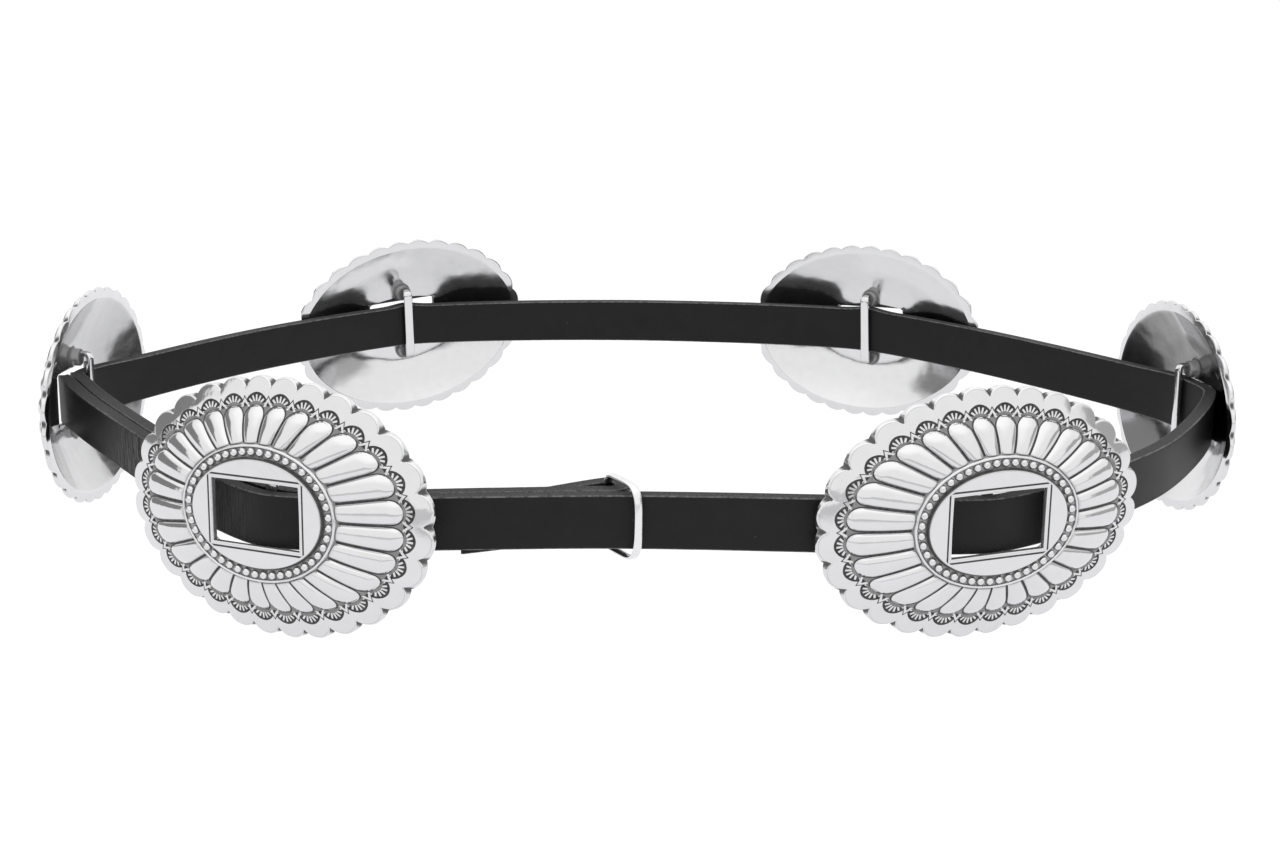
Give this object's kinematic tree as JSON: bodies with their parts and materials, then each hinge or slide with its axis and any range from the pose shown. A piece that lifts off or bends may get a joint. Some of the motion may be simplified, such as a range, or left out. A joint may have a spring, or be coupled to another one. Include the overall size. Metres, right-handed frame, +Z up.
{
  "type": "western belt",
  "caption": "Western waist belt: fluted oval silver conchos with scalloped rims and cut-out windows, threaded on a thin black leather strap that doubles back through a keeper ring.",
  "frame": {"origin": "on the floor, under the middle of the closed loop's bounding box", "axes": "+Z up, through the loop as a waist passes; +X to the wearer's left, along the loop's long way; -Y to the front, where the keeper ring is"},
  "size_m": [0.3266, 0.2432, 0.0601],
  "materials": {
    "silver": "polished cast silver with oxidised black recesses",
    "ring_silver": "polished silver",
    "leather": "smooth black leather with raw grey edges"
  },
  "bodies": {
    "root": {"concho_front_left": "silver", "concho_front_right": "silver", "concho_right": "silver", "concho_back_right": "silver", "concho_back_left": "silver", "concho_left": "silver", "keeper_ring": "ring_silver", "strap": "leather"}
  },
  "joints": []
}
